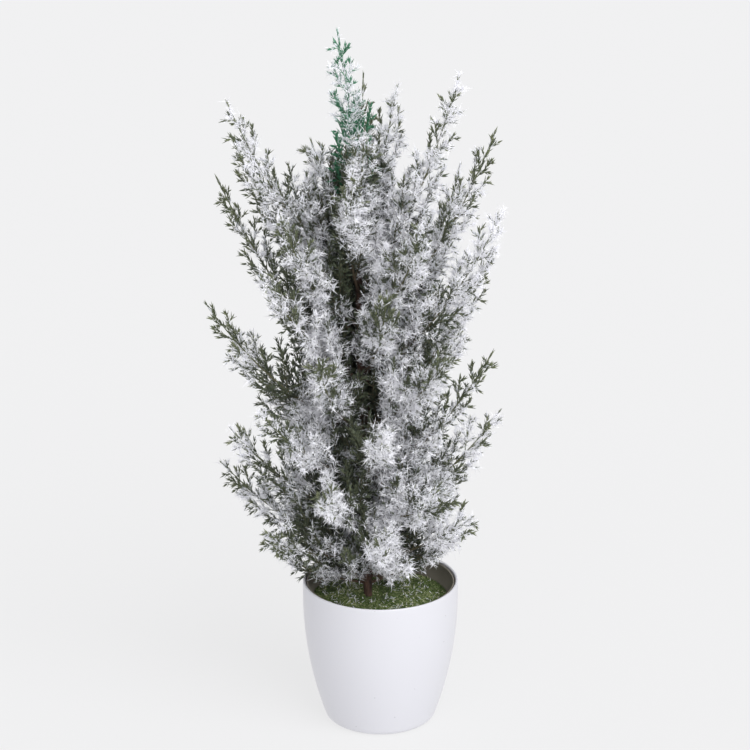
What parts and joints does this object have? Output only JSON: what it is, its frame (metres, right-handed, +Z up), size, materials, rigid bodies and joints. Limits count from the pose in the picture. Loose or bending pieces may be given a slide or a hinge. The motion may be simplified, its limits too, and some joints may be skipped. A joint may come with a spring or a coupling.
{
  "type": "artificial tabletop tree",
  "caption": "Snow-dusted artificial juniper on a weighted core, with branches that bend at the trunk, in a liner that lifts out of a round white cover pot.",
  "frame": {"origin": "middle of the cover pot's flat base, where it stands on the table", "axes": "+Z up along the tree's height; the most dressed side faces -Y; the trunk leans a little towards -X"},
  "size_m": [0.256, 0.2285, 0.6328],
  "materials": {
    "pot_white": "white moulded plastic, satin",
    "liner_olive": "dark olive-grey moulded plastic",
    "ballast_cement": "rough cast cement",
    "moss": "loose artificial moss",
    "core_steel": "drawn steel rod",
    "bark": "red-brown moulded bark, ridged",
    "leader_leaves": "bright green moulded leaves, lightly snow-dusted",
    "leaves": "olive green moulded leaves",
    "snow": "white flock and fibre"
  },
  "bodies": {
    "pot": {"cover_pot": "pot_white"},
    "planting": {"liner_pot": "liner_olive", "ballast": "ballast_cement", "moss_mat": "moss", "trunk_core": "core_steel", "trunk_bark": "bark", "leader": "leader_leaves"},
    "branch_t1_1": {"branch_t1_1": "leaves"},
    "branch_t1_2": {"branch_t1_2": "leaves"},
    "branch_t1_3": {"branch_t1_3": "leaves"},
    "branch_t1_4": {"branch_t1_4": "leaves"},
    "branch_t1_5": {"branch_t1_5": "leaves"},
    "branch_t1_6": {"branch_t1_6": "leaves"},
    "branch_t2_1": {"branch_t2_1": "leaves"},
    "branch_t2_2": {"branch_t2_2": "leaves"},
    "branch_t2_3": {"branch_t2_3": "leaves"},
    "branch_t2_4": {"branch_t2_4": "leaves"},
    "branch_t2_5": {"branch_t2_5": "leaves"},
    "branch_t2_6": {"branch_t2_6": "leaves"},
    "branch_t3_1": {"branch_t3_1": "leaves"},
    "branch_t3_2": {"branch_t3_2": "leaves"},
    "branch_t3_3": {"branch_t3_3": "leaves"},
    "branch_t3_4": {"branch_t3_4": "leaves"},
    "branch_t3_5": {"branch_t3_5": "leaves"},
    "branch_t3_6": {"branch_t3_6": "leaves"},
    "branch_t4_1": {"branch_t4_1": "leaves"},
    "branch_t4_2": {"branch_t4_2": "leaves"},
    "branch_t4_3": {"branch_t4_3": "leaves"},
    "branch_t4_4": {"branch_t4_4": "leaves"},
    "branch_t4_5": {"branch_t4_5": "leaves"},
    "branch_t4_6": {"branch_t4_6": "leaves"},
    "branch_t5_1": {"branch_t5_1": "leaves"},
    "branch_t5_2": {"branch_t5_2": "leaves"},
    "branch_t5_3": {"branch_t5_3": "leaves"},
    "branch_t5_4": {"branch_t5_4": "leaves"},
    "branch_t5_5": {"branch_t5_5": "leaves"},
    "branch_t5_6": {"branch_t5_6": "leaves"},
    "branch_t6_1": {"branch_t6_1": "leaves"},
    "branch_t6_2": {"branch_t6_2": "leaves"},
    "branch_t6_3": {"branch_t6_3": "leaves"},
    "branch_t6_4": {"branch_t6_4": "leaves"},
    "branch_t6_5": {"branch_t6_5": "leaves"},
    "branch_t6_6": {"branch_t6_6": "leaves"},
    "branch_t7_1": {"branch_t7_1": "leaves"},
    "branch_t7_2": {"branch_t7_2": "leaves"},
    "branch_t7_3": {"branch_t7_3": "leaves"},
    "branch_t7_4": {"branch_t7_4": "leaves"},
    "branch_t7_5": {"branch_t7_5": "leaves"},
    "branch_t8_1": {"branch_t8_1": "leaves"},
    "branch_t8_2": {"branch_t8_2": "leaves"},
    "branch_t8_3": {"branch_t8_3": "leaves"},
    "branch_t8_4": {"branch_t8_4": "leaves"},
    "branch_t9_1": {"branch_t9_1": "leaves"},
    "branch_t9_2": {"branch_t9_2": "leaves"},
    "branch_t9_3": {"branch_t9_3": "leaves"}
  },
  "joints": [
    {"name": "liner_lift", "type": "slide", "parent": "pot", "child": "planting", "axis": [0, 0, 1], "range_m": [0, 0.14]},
    {"name": "bend_t1_1", "type": "hinge", "parent": "planting", "child": "branch_t1_1", "pos_m": [-0.0047, 0.00095, 0.13151], "axis": [0.1392, -0.9903, 0], "range_deg": [-8, 8]},
    {"name": "bend_t1_2", "type": "hinge", "parent": "planting", "child": "branch_t1_2", "pos_m": [-0.00901, 0.00629, 0.13551], "axis": [0.9272, -0.3746, 0], "range_deg": [-8, 8]},
    {"name": "bend_t1_3", "type": "hinge", "parent": "planting", "child": "branch_t1_3", "pos_m": [-0.01582, 0.00533, 0.13951], "axis": [0.788, 0.6157, 0], "range_deg": [-8, 8]},
    {"name": "bend_t1_4", "type": "hinge", "parent": "planting", "child": "branch_t1_4", "pos_m": [-0.01817, -0.00095, 0.13151], "axis": [-0.1392, 0.9903, 0], "range_deg": [-8, 8]},
    {"name": "bend_t1_5", "type": "hinge", "parent": "planting", "child": "branch_t1_5", "pos_m": [-0.01408, -0.00629, 0.13551], "axis": [-0.9272, 0.3746, 0], "range_deg": [-8, 8]},
    {"name": "bend_t1_6", "type": "hinge", "parent": "planting", "child": "branch_t1_6", "pos_m": [-0.0075, -0.00533, 0.13951], "axis": [-0.788, -0.6157, 0], "range_deg": [-8, 8]},
    {"name": "bend_t2_1", "type": "hinge", "parent": "planting", "child": "branch_t2_1", "pos_m": [-0.0058, -0.00251, 0.15219], "axis": [-0.3746, -0.9272, 0], "range_deg": [-8, 8]},
    {"name": "bend_t2_2", "type": "hinge", "parent": "planting", "child": "branch_t2_2", "pos_m": [-0.00686, 0.00411, 0.15619], "axis": [0.6157, -0.788, 0], "range_deg": [-8, 8]},
    {"name": "bend_t2_3", "type": "hinge", "parent": "planting", "child": "branch_t2_3", "pos_m": [-0.01316, 0.00659, 0.16019], "axis": [0.9903, 0.1392, 0], "range_deg": [-8, 8]},
    {"name": "bend_t2_4", "type": "hinge", "parent": "planting", "child": "branch_t2_4", "pos_m": [-0.01822, 0.00251, 0.15219], "axis": [0.3746, 0.9272, 0], "range_deg": [-8, 8]},
    {"name": "bend_t2_5", "type": "hinge", "parent": "planting", "child": "branch_t2_5", "pos_m": [-0.01738, -0.00411, 0.15619], "axis": [-0.6157, 0.788, 0], "range_deg": [-8, 8]},
    {"name": "bend_t2_6", "type": "hinge", "parent": "planting", "child": "branch_t2_6", "pos_m": [-0.01131, -0.00659, 0.16019], "axis": [-0.9903, -0.1392, 0], "range_deg": [-8, 8]},
    {"name": "bend_t3_1", "type": "hinge", "parent": "planting", "child": "branch_t3_1", "pos_m": [-0.00661, 0.00113, 0.18838], "axis": [0.1736, -0.9848, 0], "range_deg": [-8, 8]},
    {"name": "bend_t3_2", "type": "hinge", "parent": "planting", "child": "branch_t3_2", "pos_m": [-0.01091, 0.0061, 0.19238], "axis": [0.9397, -0.342, 0], "range_deg": [-8, 8]},
    {"name": "bend_t3_3", "type": "hinge", "parent": "planting", "child": "branch_t3_3", "pos_m": [-0.01741, 0.00496, 0.19638], "axis": [0.766, 0.6428, 0], "range_deg": [-8, 8]},
    {"name": "bend_t3_4", "type": "hinge", "parent": "planting", "child": "branch_t3_4", "pos_m": [-0.01944, -0.00113, 0.18838], "axis": [-0.1736, 0.9848, 0], "range_deg": [-8, 8]},
    {"name": "bend_t3_5", "type": "hinge", "parent": "planting", "child": "branch_t3_5", "pos_m": [-0.01535, -0.0061, 0.19238], "axis": [-0.9397, 0.342, 0], "range_deg": [-8, 8]},
    {"name": "bend_t3_6", "type": "hinge", "parent": "planting", "child": "branch_t3_6", "pos_m": [-0.00909, -0.00496, 0.19638], "axis": [-0.766, -0.6428, 0], "range_deg": [-8, 8]},
    {"name": "bend_t4_1", "type": "hinge", "parent": "planting", "child": "branch_t4_1", "pos_m": [-0.00825, -0.00216, 0.22974], "axis": [-0.342, -0.9397, 0], "range_deg": [-8, 8]},
    {"name": "bend_t4_2", "type": "hinge", "parent": "planting", "child": "branch_t4_2", "pos_m": [-0.00948, 0.00404, 0.23374], "axis": [0.6428, -0.766, 0], "range_deg": [-8, 8]},
    {"name": "bend_t4_3", "type": "hinge", "parent": "planting", "child": "branch_t4_3", "pos_m": [-0.01549, 0.00617, 0.23774], "axis": [0.9848, 0.1736, 0], "range_deg": [-8, 8]},
    {"name": "bend_t4_4", "type": "hinge", "parent": "planting", "child": "branch_t4_4", "pos_m": [-0.0201, 0.00216, 0.22974], "axis": [0.342, 0.9397, 0], "range_deg": [-8, 8]},
    {"name": "bend_t4_5", "type": "hinge", "parent": "planting", "child": "branch_t4_5", "pos_m": [-0.0191, -0.00404, 0.23374], "axis": [-0.6428, 0.766, 0], "range_deg": [-8, 8]},
    {"name": "bend_t4_6", "type": "hinge", "parent": "planting", "child": "branch_t4_6", "pos_m": [-0.01331, -0.00617, 0.23774], "axis": [-0.9848, -0.1736, 0], "range_deg": [-8, 8]},
    {"name": "bend_t5_1", "type": "hinge", "parent": "planting", "child": "branch_t5_1", "pos_m": [-0.00954, 0.00126, 0.27627], "axis": [0.2079, -0.9781, 0], "range_deg": [-8, 8]},
    {"name": "bend_t5_2", "type": "hinge", "parent": "planting", "child": "branch_t5_2", "pos_m": [-0.01372, 0.00575, 0.28027], "axis": [0.9511, -0.309, 0], "range_deg": [-8, 8]},
    {"name": "bend_t5_3", "type": "hinge", "parent": "planting", "child": "branch_t5_3", "pos_m": [-0.01973, 0.00448, 0.28427], "axis": [0.7431, 0.6691, 0], "range_deg": [-8, 8]},
    {"name": "bend_t5_4", "type": "hinge", "parent": "planting", "child": "branch_t5_4", "pos_m": [-0.02141, -0.00126, 0.27627], "axis": [-0.2079, 0.9781, 0], "range_deg": [-8, 8]},
    {"name": "bend_t5_5", "type": "hinge", "parent": "planting", "child": "branch_t5_5", "pos_m": [-0.01746, -0.00575, 0.28027], "axis": [-0.9511, 0.309, 0], "range_deg": [-8, 8]},
    {"name": "bend_t5_6", "type": "hinge", "parent": "planting", "child": "branch_t5_6", "pos_m": [-0.01167, -0.00448, 0.28427], "axis": [-0.7431, -0.6691, 0], "range_deg": [-8, 8]},
    {"name": "bend_t6_1", "type": "hinge", "parent": "planting", "child": "branch_t6_1", "pos_m": [-0.01131, -0.0018, 0.32538], "axis": [-0.309, -0.9511, 0], "range_deg": [-8, 8]},
    {"name": "bend_t6_2", "type": "hinge", "parent": "planting", "child": "branch_t6_2", "pos_m": [-0.01265, 0.00388, 0.32938], "axis": [0.6691, -0.7431, 0], "range_deg": [-8, 8]},
    {"name": "bend_t6_3", "type": "hinge", "parent": "planting", "child": "branch_t6_3", "pos_m": [-0.01827, 0.00565, 0.33338], "axis": [0.9781, 0.2079, 0], "range_deg": [-8, 8]},
    {"name": "bend_t6_4", "type": "hinge", "parent": "planting", "child": "branch_t6_4", "pos_m": [-0.02238, 0.0018, 0.32538], "axis": [0.309, 0.9511, 0], "range_deg": [-8, 8]},
    {"name": "bend_t6_5", "type": "hinge", "parent": "planting", "child": "branch_t6_5", "pos_m": [-0.02127, -0.00388, 0.32938], "axis": [-0.6691, 0.7431, 0], "range_deg": [-8, 8]},
    {"name": "bend_t6_6", "type": "hinge", "parent": "planting", "child": "branch_t6_6", "pos_m": [-0.01587, -0.00565, 0.33338], "axis": [-0.9781, -0.2079, 0], "range_deg": [-8, 8]},
    {"name": "bend_t7_1", "type": "hinge", "parent": "planting", "child": "branch_t7_1", "pos_m": [-0.01265, 0.00135, 0.36933], "axis": [0.2419, -0.9703, 0], "range_deg": [-8, 8]},
    {"name": "bend_t7_2", "type": "hinge", "parent": "planting", "child": "branch_t7_2", "pos_m": [-0.0178, 0.00556, 0.37333], "axis": [0.9976, -0.0698, 0], "range_deg": [-8, 8]},
    {"name": "bend_t7_3", "type": "hinge", "parent": "planting", "child": "branch_t7_3", "pos_m": [-0.02345, 0.00208, 0.37733], "axis": [0.3746, 0.9272, 0], "range_deg": [-8, 8]},
    {"name": "bend_t7_4", "type": "hinge", "parent": "planting", "child": "branch_t7_4", "pos_m": [-0.02167, -0.00429, 0.36933], "axis": [-0.766, 0.6428, 0], "range_deg": [-8, 8]},
    {"name": "bend_t7_5", "type": "hinge", "parent": "planting", "child": "branch_t7_5", "pos_m": [-0.01523, -0.00473, 0.37333], "axis": [-0.848, -0.5299, 0], "range_deg": [-8, 8]},
    {"name": "bend_t8_1", "type": "hinge", "parent": "planting", "child": "branch_t8_1", "pos_m": [-0.01385, -0.00028, 0.41069], "axis": [-0.0523, -0.9986, 0], "range_deg": [-8, 8]},
    {"name": "bend_t8_2", "type": "hinge", "parent": "planting", "child": "branch_t8_2", "pos_m": [-0.01906, 0.00536, 0.41469], "axis": [0.9986, -0.0523, 0], "range_deg": [-8, 8]},
    {"name": "bend_t8_3", "type": "hinge", "parent": "planting", "child": "branch_t8_3", "pos_m": [-0.02479, 0.00028, 0.41869], "axis": [0.0523, 0.9986, 0], "range_deg": [-8, 8]},
    {"name": "bend_t8_4", "type": "hinge", "parent": "planting", "child": "branch_t8_4", "pos_m": [-0.01951, -0.00538, 0.41069], "axis": [-0.9986, 0.0523, 0], "range_deg": [-8, 8]},
    {"name": "bend_t9_1", "type": "hinge", "parent": "planting", "child": "branch_t9_1", "pos_m": [-0.01617, 0.00335, 0.44429], "axis": [0.6428, -0.766, 0], "range_deg": [-8, 8]},
    {"name": "bend_t9_2", "type": "hinge", "parent": "planting", "child": "branch_t9_2", "pos_m": [-0.02517, 0.00178, 0.44829], "axis": [0.342, 0.9397, 0], "range_deg": [-8, 8]},
    {"name": "bend_t9_3", "type": "hinge", "parent": "planting", "child": "branch_t9_3", "pos_m": [-0.01949, -0.0051, 0.4523], "axis": [-0.9848, -0.1736, 0], "range_deg": [-8, 8]}
  ]
}
